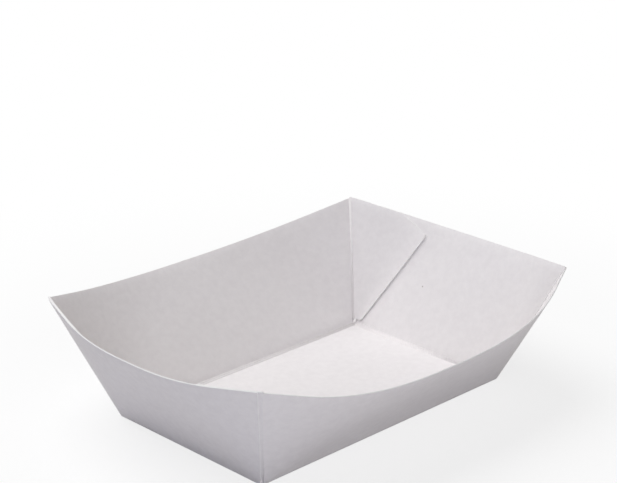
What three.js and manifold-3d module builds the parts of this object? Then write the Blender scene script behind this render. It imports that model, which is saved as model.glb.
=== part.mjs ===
import * as THREE from 'three';
import { mergeVertices } from 'three/addons/utils/BufferGeometryUtils.js';
import Module from 'manifold-3d';

// Paper food tray: one sheet of white board, creased round a flat base. The four walls
// bow outwards, and a gusset at each corner is folded behind the short wall and glued.
// Millimetres, +Z up, X along the long walls, origin at the middle of the underside.

// Base, between its creases
const baseLength = 120;
const baseWidth = 74.6;

// Rim, between the tips of its corners, and the height of those tips
const rimLength = 152.8;
const rimWidth = 110.8;
const cornerHeight = 45.5;

// Lean of the middle of each wall from upright, in degrees
const longLeanAngle = 42.6;
const shortLeanAngle = 31.8;

// Part of each wall beside its corner fold that stays flat, in degrees at the base corner
const longFlatAngle = 15;
const shortFlatAngle = 20;

// Straight stretch in the middle of each rim, and the crown cut on the short rims
const rimFlat = 6;
const shortCrown = 0.6;

// Board, and the rolled bead that each crease raises inside the tray
const board = 0.45;
const creaseRadius = 0.45;

// Gusset flap: how far it follows the rim, how far its tip lies from the base corner,
// the width and lift of its foot, the rounding of its tip and the slit it was cut with
const flapShoulder = 24;
const flapLength = 46.5;
const flapFootWidth = 3;
const flapFootLift = 2;
const flapTipRadius = 3.5;
const slitAngle = 0.4;

// The short wall's raw edge stops this far before the corner line
const edgeSetback = 0.5;

// Ball where three creases meet at a base corner, and how far the rounded creases lie
// below the flat faces that they join
const knuckleRadius = 0.8;
const creaseSink = 0.03;

// Depth by which joined pieces run into each other, and the fineness of the curves
const weld = 0.06;
const rayAngle = 3;
const beadSides = 12;

const deg = Math.PI / 180;
const halfLength = baseLength / 2;
const halfWidth = baseWidth / 2;
const flareX = (rimLength - baseLength) / 2;
const flareY = (rimWidth - baseWidth) / 2;
const cornerEdge = Math.hypot(flareX, flareY, cornerHeight);

const wasm = await Module();
wasm.setup();

// Turns a closed three.js geometry into a solid, facing out
function solid(geometry) {
  geometry.deleteAttribute('normal');
  geometry.deleteAttribute('uv');
  const merged = mergeVertices(geometry, 1e-5);
  const mesh = new wasm.Mesh({
    numProp: 3,
    vertProperties: new Float32Array(merged.attributes.position.array),
    triVerts: new Uint32Array(merged.index.array),
  });
  return new wasm.Manifold(mesh);
}

// Joins a row of four-point sections into one closed geometry
function loft(sections) {
  const points = [];
  const faces = [];
  const quad = (a, b, c, d) => faces.push(a, b, c, a, c, d);
  for (const section of sections) for (const p of section) points.push(p.x, p.y, p.z);
  for (let i = 0; i + 1 < sections.length; i++) {
    for (let k = 0; k < 4; k++) {
      const next = (k + 1) % 4;
      quad(4 * i + k, 4 * i + next, 4 * i + 4 + next, 4 * i + 4 + k);
    }
  }
  const last = 4 * (sections.length - 1);
  quad(3, 2, 1, 0);
  quad(last, last + 1, last + 2, last + 3);
  if (signedVolume(points, faces) < 0) faces.reverse();
  const geometry = new THREE.BufferGeometry();
  geometry.setAttribute('position', new THREE.Float32BufferAttribute(points, 3));
  geometry.setIndex(faces);
  return geometry;
}

function signedVolume(points, faces) {
  const at = (i) => new THREE.Vector3().fromArray(points, 3 * i);
  let sum = 0;
  for (let i = 0; i < faces.length; i += 3) {
    sum += at(faces[i]).dot(at(faces[i + 1]).cross(at(faces[i + 2])));
  }
  return sum;
}

// Ray of a wall at a flat angle from its base crease, seen from the base corner: x runs along
// the crease, y outwards and z up. The wall is flat up to bendStart, rolls by curl per radian
// up to bendEnd and is flat again to the corner fold. The normal points into the tray.
function rayAt(wall, angle) {
  const ray = new THREE.Vector3(1, 0, 0);
  const side = new THREE.Vector3(0, Math.sin(wall.lean), Math.cos(wall.lean));
  const turn = (amount) => {
    const normal = ray.clone().cross(side);
    ray.applyAxisAngle(normal, amount);
    side.applyAxisAngle(normal, amount);
  };
  turn(Math.min(angle, wall.bendStart));
  const bent = Math.min(Math.max(angle - wall.bendStart, 0), wall.bendEnd - wall.bendStart);
  const axis = ray.clone().cross(side).addScaledVector(ray, wall.curl);
  const roll = axis.length() * bent;
  axis.normalize();
  ray.applyAxisAngle(axis, roll);
  side.applyAxisAngle(axis, roll);
  turn(Math.max(angle - wall.bendEnd, 0));
  return { ray, side, normal: ray.clone().cross(side) };
}

// Finds the roll and the flat corner angle that bring a wall's edge onto the corner line
function makeWall(half, lean, along, out, flatAngle, crown) {
  const target = new THREE.Vector3(-along, out, cornerHeight).normalize();
  const shape = (curl, cornerAngle) => {
    const cornerRise = cornerEdge * Math.sin(cornerAngle);
    const bendStart = Math.atan2(cornerRise + crown, half - rimFlat / 2);
    const bendEnd = cornerAngle - flatAngle * deg;
    return { half, lean: lean * deg, crown, curl, cornerAngle, cornerRise, bendStart, bendEnd };
  };
  const miss = (curl, angle) => rayAt(shape(curl, angle), angle).ray.sub(target);
  let curl = 0.5;
  let angle = 112 * deg;
  const step = 1e-6;
  for (let i = 0; i < 40; i++) {
    const off = miss(curl, angle);
    const byCurl = miss(curl + step, angle).sub(off).divideScalar(step);
    const byAngle = miss(curl, angle + step).sub(off).divideScalar(step);
    const aa = byCurl.dot(byCurl);
    const ab = byCurl.dot(byAngle);
    const bb = byAngle.dot(byAngle);
    const ra = byCurl.dot(off);
    const rb = byAngle.dot(off);
    const det = aa * bb - ab * ab;
    curl -= (ra * bb - rb * ab) / det;
    angle -= (rb * aa - ra * ab) / det;
  }
  return shape(curl, angle);
}

const longWall = makeWall(halfLength, longLeanAngle, flareX, flareY, longFlatAngle, 0);
const shortWall = makeWall(halfWidth, shortLeanAngle, flareY, flareX, shortFlatAngle, shortCrown);

// Height of a wall's cut edge on the flat sheet, at a distance in from the base corner
function rimRise(wall, inset) {
  const reach = wall.half - cornerEdge * Math.cos(wall.cornerAngle);
  const share = (wall.half - inset) / reach;
  return wall.cornerRise + wall.crown * (1 - share * share);
}

// Where a ray meets the cut edge
function rimPoint(wall, angle) {
  let distance = wall.cornerRise / Math.sin(angle);
  for (let i = 0; i < 12; i++) {
    distance = rimRise(wall, distance * Math.cos(angle)) / Math.sin(angle);
  }
  return new THREE.Vector2(Math.cos(angle), Math.sin(angle)).multiplyScalar(distance);
}

// Base corner of a wall: where it stands, which way its crease runs from it and which way is out
function cornerFrame(wall, endSign) {
  const along = new THREE.Vector3(-endSign, 0, 0);
  const out = new THREE.Vector3(0, 1, 0);
  const depth = wall === longWall ? halfWidth : halfLength;
  return { along, out, foot: new THREE.Vector3(endSign * wall.half, depth, 0) };
}

function toFrame(frame, v) {
  return new THREE.Vector3(0, 0, v.z)
    .addScaledVector(frame.along, v.x)
    .addScaledVector(frame.out, v.y);
}

// Point of the folded sheet for a point of the flat wall, at a depth below its outer face
function lift(wall, frame, flat, depth) {
  const { ray, normal } = rayAt(wall, flat.angle());
  const local = ray.multiplyScalar(flat.length()).addScaledVector(normal, depth);
  return toFrame(frame, local).add(frame.foot);
}

// Four-point section of the sheet between two points of the flat wall
function section(wall, frame, near, far, outer, inner) {
  return [
    lift(wall, frame, near, outer), lift(wall, frame, far, outer),
    lift(wall, frame, far, inner), lift(wall, frame, near, inner),
  ];
}

function polar(distance, angle) {
  return new THREE.Vector2(distance * Math.cos(angle), distance * Math.sin(angle));
}

// Point of the flat wall at a height, on the line that runs beside the corner at an inset
function besideCorner(wall, inset, height) {
  const across = inset + height * Math.cos(wall.cornerAngle);
  return new THREE.Vector2(across / Math.sin(wall.cornerAngle), height);
}

// Where a ray crosses that line
function leavesCorner(wall, inset, angle) {
  return polar(inset / Math.sin(wall.cornerAngle - angle), angle);
}

// Flat angles at which the sheet is sectioned, no further apart than the ray step
function anglesBetween(from, to) {
  const count = Math.max(1, Math.ceil((to - from) / (rayAngle * deg)));
  return Array.from({ length: count + 1 }, (_, i) => from + (to - from) * i / count);
}

// Interior angle between the two walls at a corner line
function cornerDihedral() {
  const long = rayAt(longWall, longWall.cornerAngle).side;
  const short = rayAt(shortWall, shortWall.cornerAngle).side;
  const longSide = new THREE.Vector3(long.x, -long.y, -long.z);
  const shortSide = new THREE.Vector3(-short.y, short.x, -short.z);
  return longSide.angleTo(shortSide);
}

// The corner bead is tangent to the long wall and to the back of the short wall, where the
// flap lies. These are its distances from the corner line along each wall.
const dihedral = cornerDihedral();
const creaseDepth = creaseRadius + creaseSink;
const foldDepth = board + creaseRadius - weld;
const beadFromLong = (foldDepth + creaseDepth * Math.cos(dihedral)) / Math.sin(dihedral);
const beadFromShort = (foldDepth * Math.cos(dihedral) + creaseDepth) / Math.sin(dihedral);

// Distance of a base bead from its crease line, along the base and along the wall
function creaseTrim(lean) {
  return creaseDepth * Math.tan((90 * deg - lean) / 2);
}

// One wall from corner to corner, each end stopping at an inset from its corner line
function wallSolid(wall, inset) {
  const rise = creaseTrim(wall.lean) - weld;
  const half = (endSign) => {
    const frame = cornerFrame(wall, endSign);
    const add = (near, far) => section(wall, frame, near, far, 0, board);
    const middle = besideCorner(wall, inset, wall.cornerRise / 2);
    const sections = [add(middle, besideCorner(wall, inset, wall.cornerRise))];
    for (const angle of anglesBetween(wall.bendStart, wall.bendEnd).slice(1).reverse()) {
      sections.push(add(leavesCorner(wall, inset, angle), rimPoint(wall, angle)));
    }
    sections.push(add(besideCorner(wall, inset, rise), rimPoint(wall, wall.bendStart)));
    return sections;
  };
  return solid(loft([...half(-1), ...half(1).reverse()]));
}

// Outline of the flap on the flat short wall, from its foot up the free edge, round the tip
// and along the rim to the corner fold: x runs in from the base corner, y up the wall
function flapOutline() {
  const gap = 270 * deg - longWall.cornerAngle - shortWall.cornerAngle - slitAngle * deg;
  const tipAngle = shortWall.cornerAngle - gap;
  const fold = polar(cornerEdge, shortWall.cornerAngle);
  const shoulderX = fold.x + flapShoulder;
  const shoulder = new THREE.Vector2(shoulderX, rimRise(shortWall, shoulderX) - weld);
  const foot = new THREE.Vector2(flapFootWidth, flapFootLift);
  const tip = polar(flapLength, tipAngle);
  const before = foot.clone().lerp(tip, 1 - flapTipRadius / tip.distanceTo(foot));
  const after = shoulder.clone().lerp(tip, 1 - flapTipRadius / tip.distanceTo(shoulder));
  const outline = new THREE.Path().moveTo(foot.x, foot.y);
  for (let i = 1; i <= 12; i++) {
    const p = foot.clone().lerp(before, i / 12);
    outline.lineTo(p.x, p.y);
  }
  outline.quadraticCurveTo(tip.x, tip.y, after.x, after.y);
  outline.lineTo(shoulder.x, shoulder.y);
  return outline.getPoints(6);
}

// One glued flap, lying on the inside of the short wall
function flapSolid(endSign) {
  const frame = cornerFrame(shortWall, endSign);
  const sections = [];
  const add = (near, far) => {
    sections.push(section(shortWall, frame, near, far, board - weld, 2 * board));
  };
  const addRay = (angle, far) => {
    const foot = flapFootLift / Math.sin(angle);
    const fold = beadFromShort / Math.sin(shortWall.cornerAngle - angle);
    add(polar(Math.max(foot, fold), angle), far);
  };
  const outline = flapOutline();
  for (const p of outline.slice(1)) addRay(p.angle(), p);
  const shoulder = outline[outline.length - 1];
  for (const angle of anglesBetween(shoulder.angle(), shortWall.bendEnd).slice(1)) {
    const top = rimPoint(shortWall, angle);
    addRay(angle, top.setLength(top.length() - weld));
  }
  const rise = shortWall.cornerRise;
  const middle = besideCorner(shortWall, beadFromShort, rise / 2);
  add(middle, besideCorner(shortWall, beadFromShort, rise - weld));
  return solid(loft(sections));
}

// Round bead between two points
function beadBetween(from, to) {
  const bead = new THREE.CylinderGeometry(
    creaseRadius, creaseRadius, from.distanceTo(to), beadSides, 1,
  );
  const direction = to.clone().sub(from).normalize();
  bead.applyQuaternion(
    new THREE.Quaternion().setFromUnitVectors(new THREE.Vector3(0, 1, 0), direction),
  );
  const middle = from.clone().lerp(to, 0.5);
  return solid(bead.translate(middle.x, middle.y, middle.z));
}

// Bead in a corner fold, from the base to the tip of the corner
function cornerBead(signX, signY) {
  const { ray, side, normal } = rayAt(longWall, longWall.cornerAngle);
  const frame = cornerFrame(longWall, signX);
  const offset = side.multiplyScalar(-beadFromLong).addScaledVector(normal, creaseDepth);
  const place = (along) => {
    const p = toFrame(frame, ray.clone().multiplyScalar(along).add(offset)).add(frame.foot);
    return signY > 0 ? p : new THREE.Vector3(p.x, -p.y, p.z);
  };
  return beadBetween(place(knuckleRadius), place(cornerEdge - creaseRadius / 2));
}

// Ball in a base corner, tangent to the underside and to the outsides of both walls
function knuckle(signX, signY) {
  const long = rayAt(longWall, longWall.cornerAngle).normal;
  const short = rayAt(shortWall, shortWall.cornerAngle).normal;
  const planes = new THREE.Matrix3().set(
    0, 0, 1,
    -long.x, long.y, long.z,
    short.y, -short.x, short.z,
  );
  const centre = new THREE.Vector3(1, 1, 1).multiplyScalar(knuckleRadius + creaseSink);
  centre.applyMatrix3(planes.invert());
  const ball = new THREE.SphereGeometry(knuckleRadius, beadSides, beadSides / 2);
  ball.rotateX(90 * deg).translate(
    signX * (halfLength + centre.x), signY * (halfWidth + centre.y), centre.z,
  );
  return solid(ball);
}

// Flat base with the beads of its four creases
function baseSolid() {
  const beadX = halfLength - creaseTrim(shortWall.lean);
  const beadY = halfWidth - creaseTrim(longWall.lean);
  const plate = new THREE.BoxGeometry(2 * (beadX + weld), 2 * (beadY + weld), board);
  let base = solid(plate.translate(0, 0, board / 2));
  for (const sign of [-1, 1]) {
    const corner = (x, y) => new THREE.Vector3(x * beadX, y * beadY, creaseDepth);
    base = base.add(beadBetween(corner(-1, sign), corner(1, sign)));
    base = base.add(beadBetween(corner(sign, -1), corner(sign, 1)));
  }
  return base;
}

// Whole folded sheet
function traySolid() {
  const long = wallSolid(longWall, beadFromLong - weld);
  const short = wallSolid(shortWall, edgeSetback).add(flapSolid(-1)).add(flapSolid(1));
  let tray = baseSolid();
  tray = tray.add(long).add(long.rotate([0, 0, 180]));
  tray = tray.add(short.rotate([0, 0, 90])).add(short.rotate([0, 0, -90]));
  for (const x of [-1, 1]) {
    for (const y of [-1, 1]) tray = tray.add(cornerBead(x, y)).add(knuckle(x, y));
  }
  return tray;
}

// Mesh of a solid, with its own material
function namedMesh(name, body, colour, roughness) {
  const { vertProperties, triVerts } = body.getMesh();
  const geometry = new THREE.BufferGeometry();
  geometry.setAttribute('position', new THREE.BufferAttribute(vertProperties, 3));
  geometry.setIndex(new THREE.BufferAttribute(triVerts, 1));
  geometry.computeVertexNormals();
  const material = new THREE.MeshStandardMaterial({ color: colour, roughness, metalness: 0 });
  const mesh = new THREE.Mesh(geometry, material);
  mesh.name = name;
  return mesh;
}

const tray = new THREE.Group();
tray.name = 'paper_food_tray';
tray.add(namedMesh('tray', traySolid(), 0xf1eeec, 0.75));

export default tray;
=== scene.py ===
"""Paper food tray: one sheet of white board, folded and glued, on a pale studio floor."""

import math

import bmesh
import bpy
from bpy.props import FloatProperty, FloatVectorProperty, IntProperty, PointerProperty
from mathutils import Matrix, Vector


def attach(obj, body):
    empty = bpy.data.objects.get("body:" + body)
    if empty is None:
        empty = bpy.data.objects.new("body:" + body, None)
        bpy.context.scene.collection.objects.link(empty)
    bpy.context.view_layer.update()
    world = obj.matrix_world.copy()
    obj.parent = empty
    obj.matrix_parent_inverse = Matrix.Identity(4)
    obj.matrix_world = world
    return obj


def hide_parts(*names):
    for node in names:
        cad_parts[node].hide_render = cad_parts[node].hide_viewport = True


bl_info = {
    "name": "Paper food tray",
    "version": (1, 0, 0),
    "blender": (4, 5, 0),
    "location": "View3D > Sidebar > Tray",
    "description": "Folds a paper food tray from flat panels and sets it on a studio floor",
    "category": "Object",
}

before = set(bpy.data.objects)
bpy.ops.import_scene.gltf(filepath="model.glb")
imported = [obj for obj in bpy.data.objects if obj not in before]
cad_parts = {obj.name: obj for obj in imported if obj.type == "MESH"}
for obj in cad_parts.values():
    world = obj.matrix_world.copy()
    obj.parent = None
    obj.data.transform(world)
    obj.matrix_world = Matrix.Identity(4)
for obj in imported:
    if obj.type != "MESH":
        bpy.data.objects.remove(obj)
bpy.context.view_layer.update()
MM = 0.001

# The solver's first guess, its step and how often it and the rim's search run
FIRST_CURL, FIRST_CORNER_ANGLE = 0.5, math.radians(112)
SOLVER_STEP, SOLVER_ROUNDS, RIM_ROUNDS = 1e-6, 30, 12

# The sheet round a base corner, less the base's own right angle
SHEET_ROUND_CORNER = math.radians(270)

# Faces along and across the base, and steps along a flap's free edge, tip and shoulder
BASE_FACES = (24, 15)
FREE_EDGE_STEPS, TIP_STEPS, SHOULDER_STEPS = 24, 10, 12

# Over 1, the steps of the free edge crowd towards the foot
FOOT_CROWDING = 1.4

# Share of a corner's rise at which a wall's end column starts
END_COLUMN_START = 0.5

# Digits that tell one column of a grid from the next
GRID_DIGITS = 5

# Cut edges turn by more than this angle, and are bevelled
BEVEL_ANGLE, BEVEL_SEGMENTS = math.radians(50), 2

# A point over the tray, from which the outer faces look away
OVER_TRAY = Vector((0, 0, 0.06))

# Paper: the noise of the clouds and fibres, and what its values are read from
CLOUDS = {"Detail": 4.0, "Roughness": 0.65}
FIBRES = {"Detail": 3.0, "Distortion": 1.2}
CLOUD_CONTRAST = {"From Min": 0.35, "From Max": 0.65}
FLECK_RADIUS = {"From Min": 0.022, "From Max": 0.012}
FIBRE_RANGE = {"From Min": 0.55, "From Max": 0.95}
CLOUD_HEIGHT = 0.5
BUMP_DEPTH = 0.06 * MM
SPECULAR_LEVEL = 0.3

# Studio: each lamp's name, bearing and height in degrees, power in watts and colour
LAMPS = (
    ("Back softbox", -12, 62, 15.2, (1.0, 1.0, 1.0)),
    ("Front softbox", -140, 12, 6.0, (0.82, 0.86, 1.0)),
    ("Side softbox", 178, 16, 3.0, (1.0, 0.93, 0.80)),
)
FLOOR_REACH, FLOOR_DROP = 6.0, 0.02 * MM
FADE_START = 0.3
SENSOR_WIDTH, CLIP_START, CLIP_END = 36.0, 0.01, 20.0


def length_property(name, description, millimetres):
    return FloatProperty(
        name=name, description=description, default=millimetres * MM, unit="LENGTH", precision=5)


def angle_property(name, description, degrees):
    return FloatProperty(
        name=name, description=description, default=math.radians(degrees), subtype="ANGLE")


def colour_property(name, description, colour):
    return FloatVectorProperty(
        name=name, description=description, default=colour, subtype="COLOR", size=3,
        min=0.0, max=1.0)


def share_property(name, description, share):
    return FloatProperty(
        name=name, description=description, default=share, subtype="FACTOR", min=0.0, max=1.0)


class TraySizes(bpy.types.PropertyGroup):
    """Sizes of the folded tray, with defaults in millimetres and degrees"""

    base_length: length_property("Base length", "Between the short creases", 120.0)
    base_width: length_property("Base width", "Between the long creases", 74.6)
    rim_length: length_property("Rim length", "Between corner tips along the tray", 152.8)
    rim_width: length_property("Rim width", "Between corner tips across the tray", 110.8)
    corner_height: length_property("Corner height", "Height of the corner tips", 45.5)
    long_lean: angle_property("Long wall lean", "Lean of the long walls' middle", 42.6)
    short_lean: angle_property("Short wall lean", "Lean of the short walls' middle", 31.8)
    long_flat: angle_property("Long flat wedge", "Long walls' flat part beside a corner", 15.0)
    short_flat: angle_property("Short flat wedge", "Short walls' flat part beside a corner", 20.0)
    rim_flat: length_property("Flat rim", "Straight stretch in the middle of a rim", 6.0)
    short_crown: length_property("Short rim crown", "Rise of the short walls' cut edge", 0.6)
    board: length_property("Board", "Thickness of the board", 0.45)
    edge_setback: length_property("Edge setback", "Raw edge to corner line", 0.5)
    rim_setback: length_property("Rim setback", "Raw edge to corner line at the rim", 1.1)
    cut_bevel: length_property("Cut edge rounding", "Rounding of the cut edges", 0.07)
    ray_step: angle_property("Ray step", "Fineness of the bent walls", 1.0)
    rows: IntProperty(name="Rows", description="Rows of faces up a wall", default=14)


class FlapSizes(bpy.types.PropertyGroup):
    """Sizes of the gusset flaps, with defaults in millimetres and degrees"""

    shoulder: length_property("Shoulder", "Stretch along the rim from the corner", 24.0)
    length: length_property("Length", "Base corner to tip along the free edge", 46.5)
    foot_width: length_property("Foot width", "Width of the foot", 3.0)
    foot_lift: length_property("Foot lift", "Height of the foot over the crease", 2.0)
    tip_radius: length_property("Tip radius", "Rounding of the tip", 1.1)
    lift: length_property("Edge lift", "Gap under the free edge", 0.25)
    lift_width: length_property("Lift width", "Width of the strip that lifts", 6.0)
    slit: angle_property("Slit", "Width of the cut between flap and short wall", 0.4)
    rim_drop: length_property("Rim drop", "Drop of the flap below the rim", 0.12)


class CreaseSizes(bpy.types.PropertyGroup):
    """Sizes of the rolled creases, with defaults in millimetres"""

    radius: length_property("Bead radius", "Radius of a bead", 0.45)
    sink: length_property("Bead sink", "Bead below the outer faces", 0.03)
    knuckle: length_property("Knuckle radius", "Ball in a base corner", 0.8)
    weld: length_property("Overlap", "Depth that joined layers share", 0.06)
    roll_width: length_property("Roll width", "Width of the swelling beside a crease", 1.0)
    roll_height: length_property("Roll height", "Height of the swelling over the base", 0.3)
    roll_inset: length_property("Roll inset", "Swelling's middle to the bead's", 1.0)
    sides: IntProperty(name="Sides", description="Sides of a bead", default=20)


class BoardLook(bpy.types.PropertyGroup):
    """Colours and finish of the board"""

    face: colour_property("Face", "Colour of the board's faces", (0.889, 0.860, 0.864))
    mottle: colour_property("Mottle", "Colour of the faint fibre clouds", (0.851, 0.821, 0.827))
    fleck: colour_property("Fleck", "Colour of the rare flecks", (0.52, 0.48, 0.46))
    core: colour_property("Core", "Colour of the cut edge", (0.90, 0.89, 0.885))
    face_roughness: share_property("Face roughness", "Middle roughness of the faces", 0.62)
    edge_roughness: share_property("Edge roughness", "Middle roughness of the cut edge", 0.85)
    roughness_spread: share_property("Roughness spread", "To each side of the middle", 0.08)
    face_bump: share_property("Face bump", "Strength of the fibres on the faces", 0.35)
    edge_bump: share_property("Edge bump", "Strength of the fibres on the cut edge", 0.8)
    cloud_scale: FloatProperty(
        name="Cloud scale", description="Fibre clouds in a metre", default=380.0)
    fibre_scale: FloatProperty(
        name="Fibre scale", description="Fibres in a metre", default=1400.0)
    fleck_scale: FloatProperty(
        name="Fleck scale", description="Cells that may hold a fleck, in a metre", default=55.0)


class StudioLook(bpy.types.PropertyGroup):
    """Camera and light of the studio, with defaults in millimetres and degrees"""

    azimuth: angle_property("Azimuth", "Bearing of the view from +Y to +X", 43.93)
    elevation: angle_property("Elevation", "Height of the view", 20.54)
    roll: angle_property("Roll", "Roll of the camera", -0.41)
    distance: length_property("Distance", "Camera to the tray along the view", 674.42)
    shift_right: length_property("Right", "Tray's origin right of the view's axis", 1.56)
    shift_up: length_property("Up", "Tray's origin above the view's axis", -57.23)
    focal_length: FloatProperty(
        name="Focal length", description="On a sensor 36 mm wide", default=106.92, unit="CAMERA")
    floor: colour_property("Floor", "Colour of the floor", (0.97, 0.97, 0.97))
    floor_bounce: colour_property(
        "Floor's bounce", "Colour of the floor in the light that it sends back",
        (0.72, 0.71, 0.73))
    shadow: share_property(
        "Shadow", "Share of the floor's look that its light and shadow make", 0.22)
    shadow_reach: length_property(
        "Shadow reach", "From the tray's middle to where the shadow ends", 260.0)
    air: colour_property("Air", "Colour of the even light all round", (0.07, 0.07, 0.07))
    lamp_distance: length_property("Lamp distance", "Lamps to the tray", 1300.0)
    lamp_size: length_property("Lamp size", "Diameter of a softbox", 1200.0)


class WallShape:
    """A wall that is flat in its middle and rolls as a cone round each base corner.

    Points of the flat wall are seen from a base corner, along the crease and up the wall.
    """

    def __init__(self, sizes, half, lean, along, out, flat, crown):
        self.sizes, self.half, self.lean = sizes, half, lean
        self.flat, self.crown = flat, crown
        target = Vector((-along, out, sizes.corner_height))
        self.edge = target.length
        self.solve(target.normalized())

    def set_roll(self, curl, corner_angle):
        self.curl, self.corner_angle = curl, corner_angle
        self.corner_rise = self.edge * math.sin(corner_angle)
        reach = self.half - self.sizes.rim_flat / 2
        self.bend_start = math.atan2(self.corner_rise + self.crown, reach)
        self.bend_end = corner_angle - self.flat

    def solve(self, target):
        """Finds the roll and the flat angle that bring the wall's edge onto the corner line"""
        curl, angle = FIRST_CURL, FIRST_CORNER_ANGLE

        def miss(curl, angle):
            self.set_roll(curl, angle)
            return self.ray(angle)[0] - target

        for _ in range(SOLVER_ROUNDS):
            off = miss(curl, angle)
            by_curl = (miss(curl + SOLVER_STEP, angle) - off) / SOLVER_STEP
            by_angle = (miss(curl, angle + SOLVER_STEP) - off) / SOLVER_STEP
            aa, ab, bb = by_curl.dot(by_curl), by_curl.dot(by_angle), by_angle.dot(by_angle)
            ra, rb = by_curl.dot(off), by_angle.dot(off)
            det = aa * bb - ab * ab
            curl -= (ra * bb - rb * ab) / det
            angle -= (rb * aa - ra * ab) / det
        self.set_roll(curl, angle)

    def ray(self, angle):
        """Direction of a ray, of the sheet across it and of the face into the tray"""
        ray = Vector((1, 0, 0))
        side = Vector((0, math.sin(self.lean), math.cos(self.lean)))

        def turn(axis, amount):
            spin = Matrix.Rotation(amount, 3, axis)
            ray.rotate(spin)
            side.rotate(spin)

        turn(ray.cross(side), min(angle, self.bend_start))
        bent = min(max(angle - self.bend_start, 0), self.bend_end - self.bend_start)
        axis = ray.cross(side) + ray * self.curl
        turn(axis, axis.length * bent)
        turn(ray.cross(side), max(angle - self.bend_end, 0))
        return ray, side, ray.cross(side)

    def rim_rise(self, inset):
        """Height of the flat wall's cut edge"""
        reach = self.half - self.edge * math.cos(self.corner_angle)
        return self.corner_rise + self.crown * (1 - ((self.half - inset) / reach) ** 2)

    def rim_point(self, angle):
        """Where a ray meets the cut edge, on the flat wall"""
        distance = self.corner_rise / math.sin(angle)
        for _ in range(RIM_ROUNDS):
            distance = self.rim_rise(distance * math.cos(angle)) / math.sin(angle)
        return polar(distance, angle)

    def beside_corner(self, inset, height):
        """Point at a height on the line that runs an inset away from the corner line"""
        across = inset + height * math.cos(self.corner_angle)
        return Vector((across / math.sin(self.corner_angle), height))

    def leaves_corner(self, inset, angle):
        """Where a ray crosses that same line"""
        return polar(inset / math.sin(self.corner_angle - angle), angle)

    def lift(self, flat, depth=0.0):
        """Point of the folded wall for a point of the flat one"""
        ray, _, normal = self.ray(math.atan2(flat.y, flat.x))
        return ray * flat.length + normal * depth


def polar(distance, angle):
    return Vector((distance * math.cos(angle), distance * math.sin(angle)))


def angles_between(start, end, step):
    count = max(1, math.ceil((end - start) / step))
    return [start + (end - start) * i / count for i in range(count + 1)]


def both_walls(sizes):
    """Shapes of the long and the short walls"""
    flare_x = (sizes.rim_length - sizes.base_length) / 2
    flare_y = (sizes.rim_width - sizes.base_width) / 2
    long_wall = WallShape(
        sizes, sizes.base_length / 2, sizes.long_lean, flare_x, flare_y, sizes.long_flat, 0.0)
    short_wall = WallShape(
        sizes, sizes.base_width / 2, sizes.short_lean, flare_y, flare_x, sizes.short_flat,
        sizes.short_crown)
    return long_wall, short_wall


class CornerFold:
    """Where the bead of a corner fold runs, behind the raw edge of the short wall"""

    def __init__(self, sizes, creases, long_wall, short_wall):
        long_side, short_side = (w.ray(w.corner_angle)[1] for w in (long_wall, short_wall))
        across = Vector((long_side.x, -long_side.y, -long_side.z))
        dihedral = across.angle(Vector((-short_side.y, short_side.x, -short_side.z)))
        outer = creases.radius + creases.sink
        inner = sizes.board + creases.radius - creases.weld
        self.depth = outer
        self.from_long = (inner + outer * math.cos(dihedral)) / math.sin(dihedral)
        self.from_short = (inner * math.cos(dihedral) + outer) / math.sin(dihedral)


def crease_trim(creases, lean):
    """Distance from a crease line in to the middle of its bead"""
    return (creases.radius + creases.sink) * math.tan((math.pi / 2 - lean) / 2)


def place(wall, sizes, end_sign, local, turned):
    """Point of the tray for a point seen from a wall's base corner, the wall turned about Z"""
    depth = sizes.base_width / 2 if turned % 180 == 0 else sizes.base_length / 2
    point = Vector((end_sign * (wall.half - local.x), depth + local.y, local.z))
    return Matrix.Rotation(math.radians(turned), 3, "Z") @ point


def fold_panel(bm, columns, rows, wall, sizes, turned, depth_at):
    """Folds a grid of faces into a panel. A column is its end's sign and two flat points."""
    grid = bmesh.ops.create_grid(bm, x_segments=len(columns) - 1, y_segments=rows, size=1.0)
    verts = sorted(grid["verts"], key=lambda v: (round(v.co.x, GRID_DIGITS), v.co.y))
    for i, (end_sign, near, far) in enumerate(columns):
        for j in range(rows + 1):
            flat = near.lerp(far, j / rows)
            local = wall.lift(flat, depth_at(flat))
            verts[i * (rows + 1) + j].co = place(wall, sizes, end_sign, local, turned)
    bmesh.ops.recalc_face_normals(bm, faces=list({f for v in verts for f in v.link_faces}))
    return verts


def face_outwards(bm, verts):
    """Turns an open panel so that its faces look away from the space over the tray"""
    faces = list({f for v in verts for f in v.link_faces})
    facing = sum(
        f.normal.dot(f.calc_center_median() - OVER_TRAY) * f.calc_area() for f in faces)
    if facing < 0:
        bmesh.ops.reverse_faces(bm, faces=faces)


def finished(name, bm, materials):
    """Makes a piece of a bmesh: it rides on the tray's body and stands for its CAD solid"""
    mesh = bpy.data.meshes.new(name)
    bm.to_mesh(mesh)
    bm.free()
    for face in mesh.polygons:
        face.use_smooth = True
    piece = bpy.data.objects.new(name, mesh)
    bpy.context.scene.collection.objects.link(piece)
    for material in materials:
        mesh.materials.append(material)
    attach(piece, "root")
    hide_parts("tray")
    return piece


def give_thickness(piece, sizes, thickness):
    """Board thickness behind the outer face, with softened cut edges"""
    solidify = piece.modifiers.new("Board", "SOLIDIFY")
    solidify.thickness = thickness
    solidify.offset = -1.0
    solidify.use_even_offset = True
    solidify.material_offset_rim = 1
    bevel = piece.modifiers.new("Cut edges", "BEVEL")
    bevel.width = sizes.cut_bevel
    bevel.segments = BEVEL_SEGMENTS
    bevel.limit_method = "ANGLE"
    bevel.angle_limit = BEVEL_ANGLE


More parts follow.
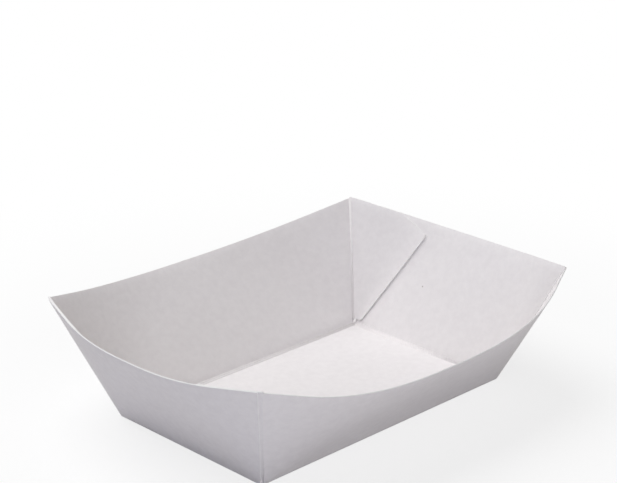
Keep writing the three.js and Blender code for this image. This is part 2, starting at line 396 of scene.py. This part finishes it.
class TRAY_OT_panels(bpy.types.Operator):
    """Folds the base and the four walls of the tray"""

    bl_idname = "tray.panels"
    bl_label = "Base and walls"

    def execute(self, context):
        sizes, creases = context.scene.tray_sizes, context.scene.tray_creases
        long_wall, short_wall = both_walls(sizes)
        fold = CornerFold(sizes, creases, long_wall, short_wall)
        bm = bmesh.new()
        self.base(bm, sizes, creases, long_wall, short_wall)
        for turned in (0, 180):
            inset = fold.from_long - creases.weld
            self.wall(bm, sizes, creases, long_wall, inset, inset, turned)
        for turned in (90, -90):
            self.wall(bm, sizes, creases, short_wall, sizes.edge_setback, sizes.rim_setback,
                      turned)
        piece = finished("base_and_walls", bm, board_materials(context.scene.tray_look))
        give_thickness(piece, sizes, sizes.board)
        return {"FINISHED"}

    def base(self, bm, sizes, creases, long_wall, short_wall):
        """Flat base that reaches into the beads round it"""
        half_x = sizes.base_length / 2 - crease_trim(creases, short_wall.lean) + creases.weld
        half_y = sizes.base_width / 2 - crease_trim(creases, long_wall.lean) + creases.weld
        along, across = BASE_FACES
        plate = bmesh.ops.create_grid(bm, x_segments=along, y_segments=across, size=1.0)
        bmesh.ops.scale(bm, vec=(half_x, half_y, 1.0), verts=plate["verts"])
        face_outwards(bm, plate["verts"])

    def wall(self, bm, sizes, creases, wall, inset, rim_inset, turned):
        """One wall: both ends have the same columns, from the raw edge to the flat middle"""
        rise = crease_trim(creases, wall.lean) - creases.weld
        half = [(wall.beside_corner(inset, wall.corner_rise * END_COLUMN_START),
                 wall.beside_corner(rim_inset, wall.corner_rise))]
        for angle in reversed(angles_between(wall.bend_start, wall.bend_end, sizes.ray_step)[1:]):
            half.append((wall.leaves_corner(inset, angle), wall.rim_point(angle)))
        half.append((wall.beside_corner(inset, rise), wall.rim_point(wall.bend_start)))
        columns = [(-1, *pair) for pair in half] + [(1, *pair) for pair in reversed(half)]
        verts = fold_panel(bm, columns, sizes.rows, wall, sizes, turned, lambda flat: 0.0)
        face_outwards(bm, verts)


class TRAY_OT_flaps(bpy.types.Operator):
    """Folds the four gusset flaps and lays them on the insides of the short walls"""

    bl_idname = "tray.flaps"
    bl_label = "Gusset flaps"

    def execute(self, context):
        sizes, creases = context.scene.tray_sizes, context.scene.tray_creases
        flaps = context.scene.tray_flaps
        long_wall, short_wall = both_walls(sizes)
        fold = CornerFold(sizes, creases, long_wall, short_wall)
        outline, foot, tip = self.outline(flaps, long_wall, short_wall)
        along = (tip - foot).normalized()

        def depth_at(flat):
            """The glued flap, lifting off the wall towards its free edge"""
            inward = along.x * (flat.y - foot.y) - along.y * (flat.x - foot.x)
            near_edge = max(0.0, 1 - inward / flaps.lift_width)
            return sizes.board - creases.weld + flaps.lift * near_edge ** 2

        bm = bmesh.new()
        for turned in (90, -90):
            for end_sign in (-1, 1):
                columns = [(end_sign, *pair) for pair in
                           self.columns(sizes, flaps, short_wall, fold, outline)]
                verts = fold_panel(bm, columns, sizes.rows, short_wall, sizes, turned, depth_at)
                face_outwards(bm, verts)
        piece = finished("gusset_flaps", bm, board_materials(context.scene.tray_look))
        give_thickness(piece, sizes, sizes.board + creases.weld)
        return {"FINISHED"}

    def outline(self, flaps, long_wall, short_wall):
        """Free edge, rounded tip and shoulder of a flap on the flat short wall"""
        gap = SHEET_ROUND_CORNER - flaps.slit - long_wall.corner_angle - short_wall.corner_angle
        fold = polar(short_wall.edge, short_wall.corner_angle)
        tip = polar(flaps.length, short_wall.corner_angle - gap)
        across = fold.x + flaps.shoulder
        shoulder = Vector((across, short_wall.rim_rise(across) - flaps.rim_drop))
        foot = Vector((flaps.foot_width, flaps.foot_lift))
        before = foot.lerp(tip, 1 - flaps.tip_radius / (tip - foot).length)
        after = shoulder.lerp(tip, 1 - flaps.tip_radius / (tip - shoulder).length)
        points = [foot.lerp(before, (i / FREE_EDGE_STEPS) ** FOOT_CROWDING)
                  for i in range(1, FREE_EDGE_STEPS + 1)]
        for i in range(1, TIP_STEPS + 1):
            t = i / TIP_STEPS
            points.append(before * (1 - t) ** 2 + tip * (2 * t * (1 - t)) + after * t * t)
        points += [after.lerp(shoulder, i / SHOULDER_STEPS) for i in range(1, SHOULDER_STEPS + 1)]
        return points, foot, tip

    def columns(self, sizes, flaps, wall, fold, outline):
        """Pairs of flat points: low ones on the foot and the fold, high ones on the outline"""

        def from_foot(angle, far):
            foot = flaps.foot_lift / math.sin(angle)
            line = fold.from_short / math.sin(wall.corner_angle - angle)
            return polar(max(foot, line), angle), far

        pairs = [from_foot(math.atan2(p.y, p.x), p) for p in outline]
        start = math.atan2(outline[-1].y, outline[-1].x)
        for angle in angles_between(start, wall.bend_end, sizes.ray_step)[1:]:
            top = wall.rim_point(angle)
            pairs.append(from_foot(angle, top * (1 - flaps.rim_drop / top.length)))
        inset = fold.from_short
        pairs.append((wall.beside_corner(inset, flaps.foot_lift),
                      wall.beside_corner(inset, wall.corner_rise - flaps.rim_drop)))
        return pairs


class TRAY_OT_creases(bpy.types.Operator):
    """Rolls the beads of the base creases and of the corner folds"""

    bl_idname = "tray.creases"
    bl_label = "Creases"

    def execute(self, context):
        sizes, creases = context.scene.tray_sizes, context.scene.tray_creases
        long_wall, short_wall = both_walls(sizes)
        fold = CornerFold(sizes, creases, long_wall, short_wall)
        x = sizes.base_length / 2 - crease_trim(creases, short_wall.lean)
        y = sizes.base_width / 2 - crease_trim(creases, long_wall.lean)
        z = creases.radius + creases.sink
        bm = bmesh.new()
        for sign in (-1, 1):
            self.bead(bm, creases, Vector((-x, sign * y, z)), Vector((x, sign * y, z)))
            self.bead(bm, creases, Vector((sign * x, -y, z)), Vector((sign * x, y, z)))
            self.roll(bm, sizes, creases, x, sign * (y - creases.roll_inset), "X")
            self.roll(bm, sizes, creases, y, sign * (x - creases.roll_inset), "Y")
            for other in (-1, 1):
                low, high = self.corner_line(sizes, creases, long_wall, fold, sign, other)
                self.bead(bm, creases, low, high)
                self.knuckle(bm, sizes, creases, long_wall, short_wall, sign, other)
        finished("crease_beads", bm, board_materials(context.scene.tray_look)[:1])
        return {"FINISHED"}

    def rod(self, bm, creases, radius, length):
        """Upright rod round the origin"""
        return bmesh.ops.create_cone(
            bm, cap_ends=True, segments=creases.sides, radius1=radius, radius2=radius,
            depth=length)["verts"]

    def roll(self, bm, sizes, creases, reach, offset, axis):
        """Shallow swelling of the base along a crease, sunk in the board's upper face"""
        radius = creases.roll_width / 2
        verts = self.rod(bm, creases, radius, 2 * (reach - creases.roll_inset))
        turned_about = "Y" if axis == "X" else "X"
        bmesh.ops.rotate(bm, matrix=Matrix.Rotation(math.pi / 2, 3, turned_about), verts=verts)
        bmesh.ops.scale(bm, vec=(1, 1, creases.roll_height / radius), verts=verts)
        middle = (0, offset, sizes.board) if axis == "X" else (offset, 0, sizes.board)
        bmesh.ops.translate(bm, vec=middle, verts=verts)

    def bead(self, bm, creases, start, end):
        """Round bead between two points"""
        verts = self.rod(bm, creases, creases.radius, (end - start).length)
        turn = (end - start).to_track_quat("Z", "Y").to_matrix()
        bmesh.ops.rotate(bm, matrix=turn, verts=verts)
        bmesh.ops.translate(bm, vec=(start + end) / 2, verts=verts)

    def corner_line(self, sizes, creases, wall, fold, sign_x, sign_y):
        """Both ends of the bead in a corner fold"""
        ray, side, normal = wall.ray(wall.corner_angle)
        offset = normal * fold.depth - side * fold.from_long
        ends = []
        for along in (creases.knuckle, wall.edge - creases.radius / 2):
            local = ray * along + offset
            depth = sizes.base_width / 2 + local.y
            ends.append(Vector((sign_x * (wall.half - local.x), sign_y * depth, local.z)))
        return ends

    def knuckle(self, bm, sizes, creases, long_wall, short_wall, sign_x, sign_y):
        """Ball tangent to the underside and to the outsides of both walls"""
        long_in = long_wall.ray(long_wall.corner_angle)[2]
        short_in = short_wall.ray(short_wall.corner_angle)[2]
        planes = Matrix((
            (0, 0, 1),
            (-long_in.x, long_in.y, long_in.z),
            (short_in.y, -short_in.x, short_in.z),
        ))
        centre = planes.inverted() @ Vector((1, 1, 1)) * (creases.knuckle + creases.sink)
        x = sign_x * (sizes.base_length / 2 + centre.x)
        y = sign_y * (sizes.base_width / 2 + centre.y)
        ball = bmesh.ops.create_uvsphere(
            bm, u_segments=creases.sides, v_segments=creases.sides // 2,
            radius=creases.knuckle)
        bmesh.ops.translate(bm, vec=(x, y, centre.z), verts=ball["verts"])


def add_node(nodes, kind, values=None):
    """Adds a node and sets its inputs by name"""
    node = nodes.new(kind)
    for name, value in (values or {}).items():
        node.inputs[name].default_value = value
    return node


def fibre_group():
    """Faint clouds, pressed fibres and rare flecks of paperboard, as a colour and a height"""
    group = bpy.data.node_groups.get("Board fibre")
    if group:
        return group
    group = bpy.data.node_groups.new("Board fibre", "ShaderNodeTree")
    for name in ("Face", "Mottle", "Fleck"):
        group.interface.new_socket(name, in_out="INPUT", socket_type="NodeSocketColor")
    for name in ("Cloud scale", "Fibre scale", "Fleck scale"):
        group.interface.new_socket(name, in_out="INPUT", socket_type="NodeSocketFloat")
    group.interface.new_socket("Color", in_out="OUTPUT", socket_type="NodeSocketColor")
    group.interface.new_socket("Height", in_out="OUTPUT", socket_type="NodeSocketFloat")
    nodes, links = group.nodes, group.links
    given, out = nodes.new("NodeGroupInput"), nodes.new("NodeGroupOutput")
    position = nodes.new("ShaderNodeTexCoord").outputs["Object"]

    clouds = add_node(nodes, "ShaderNodeTexNoise", CLOUDS)
    fibres = add_node(nodes, "ShaderNodeTexNoise", FIBRES)
    flecks = nodes.new("ShaderNodeTexVoronoi")
    flecks.feature = "F1"
    for texture, scale in ((clouds, "Cloud scale"), (fibres, "Fibre scale"),
                           (flecks, "Fleck scale")):
        links.new(position, texture.inputs["Vector"])
        links.new(given.outputs[scale], texture.inputs["Scale"])

    spread = add_node(nodes, "ShaderNodeMapRange", CLOUD_CONTRAST)
    links.new(clouds.outputs["Fac"], spread.inputs["Value"])
    tone = nodes.new("ShaderNodeMix")
    tone.data_type = "RGBA"
    links.new(spread.outputs["Result"], tone.inputs["Factor"])
    links.new(given.outputs["Face"], tone.inputs["A"])
    links.new(given.outputs["Mottle"], tone.inputs["B"])

    speck = add_node(nodes, "ShaderNodeMapRange", FLECK_RADIUS)
    links.new(flecks.outputs["Distance"], speck.inputs["Value"])
    marked = nodes.new("ShaderNodeMix")
    marked.data_type = "RGBA"
    links.new(speck.outputs["Result"], marked.inputs["Factor"])
    links.new(tone.outputs["Result"], marked.inputs["A"])
    links.new(given.outputs["Fleck"], marked.inputs["B"])
    links.new(marked.outputs["Result"], out.inputs["Color"])

    height = nodes.new("ShaderNodeMath")
    height.operation = "MULTIPLY_ADD"
    height.inputs[1].default_value = CLOUD_HEIGHT
    links.new(clouds.outputs["Fac"], height.inputs[0])
    links.new(fibres.outputs["Fac"], height.inputs[2])
    links.new(height.outputs["Value"], out.inputs["Height"])
    return group


def board_material(name, look, colours, roughness, bump_strength):
    """Matt paper finish from the fibre group. The colours are the face's, mottle's, fleck's."""
    material = bpy.data.materials.get(name)
    if material:
        return material
    material = bpy.data.materials.new(name)
    material.use_nodes = True
    nodes, links = material.node_tree.nodes, material.node_tree.links
    shader = nodes["Principled BSDF"]
    fibre = nodes.new("ShaderNodeGroup")
    fibre.node_tree = fibre_group()
    for socket, colour in zip(("Face", "Mottle", "Fleck"), colours):
        fibre.inputs[socket].default_value = (*colour, 1)
    fibre.inputs["Cloud scale"].default_value = look.cloud_scale
    fibre.inputs["Fibre scale"].default_value = look.fibre_scale
    fibre.inputs["Fleck scale"].default_value = look.fleck_scale
    bump = add_node(nodes, "ShaderNodeBump", {"Strength": bump_strength, "Distance": BUMP_DEPTH})
    matt = add_node(nodes, "ShaderNodeMapRange", {
        **FIBRE_RANGE, "To Min": roughness - look.roughness_spread,
        "To Max": roughness + look.roughness_spread})
    links.new(fibre.outputs["Color"], shader.inputs["Base Color"])
    links.new(fibre.outputs["Height"], bump.inputs["Height"])
    links.new(bump.outputs["Normal"], shader.inputs["Normal"])
    links.new(fibre.outputs["Height"], matt.inputs["Value"])
    links.new(matt.outputs["Result"], shader.inputs["Roughness"])
    shader.inputs["Specular IOR Level"].default_value = SPECULAR_LEVEL
    material.diffuse_color = (*colours[0], 1)
    return material


def board_materials(look):
    """Materials of the board's faces and of its cut edge"""
    return [
        board_material("white_board", look, (look.face, look.mottle, look.fleck),
                       look.face_roughness, look.face_bump),
        board_material("cut_board_edge", look, (look.core, look.core, look.mottle),
                       look.edge_roughness, look.edge_bump),
    ]


class TRAY_OT_studio(bpy.types.Operator):
    """Sets the floor, the lamps, the world and the camera"""

    bl_idname = "tray.studio"
    bl_label = "Studio"

    def execute(self, context):
        look = context.scene.tray_studio
        self.floor(look)
        for lamp in LAMPS:
            self.lamp(look, *lamp)
        self.world(context.scene, look)
        self.camera(context.scene, look)
        return {"FINISHED"}

    def floor(self, look):
        bm = bmesh.new()
        plate = bmesh.ops.create_grid(bm, x_segments=1, y_segments=1, size=FLOOR_REACH)
        bmesh.ops.translate(bm, vec=(0, 0, -FLOOR_DROP), verts=plate["verts"])
        mesh = bpy.data.meshes.new("studio_floor")
        bm.to_mesh(mesh)
        bm.free()
        floor = bpy.data.objects.new("studio_floor", mesh)
        bpy.context.scene.collection.objects.link(floor)
        mesh.materials.append(self.floor_material(look))

    def floor_material(self, look):
        """White floor with a pale shadow for the camera, and a duller one for the light"""
        material = bpy.data.materials.new("pale_floor")
        material.use_nodes = True
        nodes, links = material.node_tree.nodes, material.node_tree.links
        nodes.clear()
        bounce = add_node(nodes, "ShaderNodeBsdfDiffuse", {"Color": (*look.floor_bounce, 1)})
        seen = add_node(nodes, "ShaderNodeBsdfDiffuse", {"Color": (*look.floor, 1)})
        white = nodes.new("ShaderNodeEmission")
        soften = nodes.new("ShaderNodeMixShader")
        position = nodes.new("ShaderNodeTexCoord")
        distance = nodes.new("ShaderNodeVectorMath")
        distance.operation = "LENGTH"
        links.new(position.outputs["Object"], distance.inputs[0])
        fade = add_node(nodes, "ShaderNodeMapRange", {
            "From Min": look.shadow_reach * FADE_START, "From Max": look.shadow_reach,
            "To Min": look.shadow, "To Max": 0.0})
        fade.interpolation_type = "SMOOTHSTEP"
        links.new(distance.outputs["Value"], fade.inputs["Value"])
        links.new(fade.outputs["Result"], soften.inputs[0])
        links.new(white.outputs[0], soften.inputs[1])
        links.new(seen.outputs[0], soften.inputs[2])
        out = nodes.new("ShaderNodeOutputMaterial")
        links.new(self.by_ray(nodes, links, bounce, soften), out.inputs["Surface"])
        return material

    def by_ray(self, nodes, links, lit, seen):
        """One shader for the light that falls on the tray, another for what is looked at"""
        path = nodes.new("ShaderNodeLightPath")
        looked_at = nodes.new("ShaderNodeMath")
        looked_at.operation = "MAXIMUM"
        links.new(path.outputs["Is Camera Ray"], looked_at.inputs[0])
        mirrored = nodes.new("ShaderNodeMath")
        mirrored.operation = "MAXIMUM"
        links.new(path.outputs["Is Glossy Ray"], mirrored.inputs[0])
        links.new(path.outputs["Is Transmission Ray"], mirrored.inputs[1])
        links.new(mirrored.outputs[0], looked_at.inputs[1])
        choice = nodes.new("ShaderNodeMixShader")
        links.new(looked_at.outputs[0], choice.inputs[0])
        links.new(lit.outputs[0], choice.inputs[1])
        links.new(seen.outputs[0], choice.inputs[2])
        return choice.outputs[0]

    def lamp(self, look, name, azimuth, elevation, power, colour):
        """Round softbox that faces the tray"""
        bearing, rise = math.radians(azimuth), math.radians(elevation)
        position = look.lamp_distance * Vector((
            math.sin(bearing) * math.cos(rise),
            math.cos(bearing) * math.cos(rise),
            math.sin(rise),
        ))
        data = bpy.data.lights.new(name, "AREA")
        data.shape = "DISK"
        data.size = look.lamp_size
        data.energy = power
        data.color = colour
        lamp = bpy.data.objects.new(name, data)
        lamp.location = position
        lamp.rotation_euler = (-position).to_track_quat("-Z", "Y").to_euler()
        bpy.context.scene.collection.objects.link(lamp)

    def world(self, scene, look):
        """Dim even light all round, and plain white where the camera looks past the floor"""
        world = bpy.data.worlds.new("Studio air")
        world.use_nodes = True
        nodes, links = world.node_tree.nodes, world.node_tree.links
        nodes.clear()
        seen = add_node(nodes, "ShaderNodeBackground", {"Color": (1, 1, 1, 1)})
        lit = add_node(nodes, "ShaderNodeBackground", {"Color": (*look.air, 1)})
        out = nodes.new("ShaderNodeOutputWorld")
        links.new(self.by_ray(nodes, links, lit, seen), out.inputs["Surface"])
        scene.world = world

    def camera(self, scene, look):
        """Camera at the photograph's viewing angle and distance"""
        forward = Vector((
            math.sin(look.azimuth) * math.cos(look.elevation),
            math.cos(look.azimuth) * math.cos(look.elevation),
            -math.sin(look.elevation),
        ))
        right = Vector((math.cos(look.azimuth), -math.sin(look.azimuth), 0))
        up = right.cross(forward)
        across = right * math.cos(look.roll) + up * math.sin(look.roll)
        upward = up * math.cos(look.roll) - right * math.sin(look.roll)
        position = -(across * look.shift_right + upward * look.shift_up + forward * look.distance)
        data = bpy.data.cameras.new("Photo view")
        data.lens = look.focal_length
        data.sensor_width = SENSOR_WIDTH
        data.clip_start, data.clip_end = CLIP_START, CLIP_END
        camera = bpy.data.objects.new("Photo view", data)
        camera.matrix_world = Matrix.Translation(position) @ Matrix(
            (across, upward, -forward)).transposed().to_4x4()
        scene.collection.objects.link(camera)
        scene.camera = camera


class TRAY_PT_panel(bpy.types.Panel):
    """Lists the tray's sizes, its looks and the buttons that make it"""

    bl_idname = "TRAY_PT_panel"
    bl_label = "Paper food tray"
    bl_space_type = "VIEW_3D"
    bl_region_type = "UI"
    bl_category = "Tray"

    def draw(self, context):
        layout = self.layout
        scene = context.scene
        for title, group in (("Tray", scene.tray_sizes), ("Flaps", scene.tray_flaps),
                             ("Creases", scene.tray_creases), ("Board", scene.tray_look),
                             ("Studio", scene.tray_studio)):
            box = layout.box()
            box.label(text=title)
            for name in group.__annotations__:
                box.prop(group, name)
        for operator in (TRAY_OT_panels, TRAY_OT_flaps, TRAY_OT_creases, TRAY_OT_studio):
            layout.operator(operator.bl_idname)


CLASSES = (
    TraySizes, FlapSizes, CreaseSizes, BoardLook, StudioLook,
    TRAY_OT_panels, TRAY_OT_flaps, TRAY_OT_creases, TRAY_OT_studio, TRAY_PT_panel,
)
SETTINGS = {
    "tray_sizes": TraySizes, "tray_flaps": FlapSizes, "tray_creases": CreaseSizes,
    "tray_look": BoardLook, "tray_studio": StudioLook,
}


def register():
    for cls in CLASSES:
        bpy.utils.register_class(cls)
    for name, group in SETTINGS.items():
        setattr(bpy.types.Scene, name, PointerProperty(type=group))


def unregister():
    for name in SETTINGS:
        delattr(bpy.types.Scene, name)
    for cls in reversed(CLASSES):
        bpy.utils.unregister_class(cls)


def main():
    register()
    bpy.context.scene.view_settings.view_transform = "Standard"
    bpy.ops.tray.panels()
    bpy.ops.tray.flaps()
    bpy.ops.tray.creases()
    bpy.ops.tray.studio()
    bpy.context.view_layer.update()


if __name__ == "__main__":
    main()
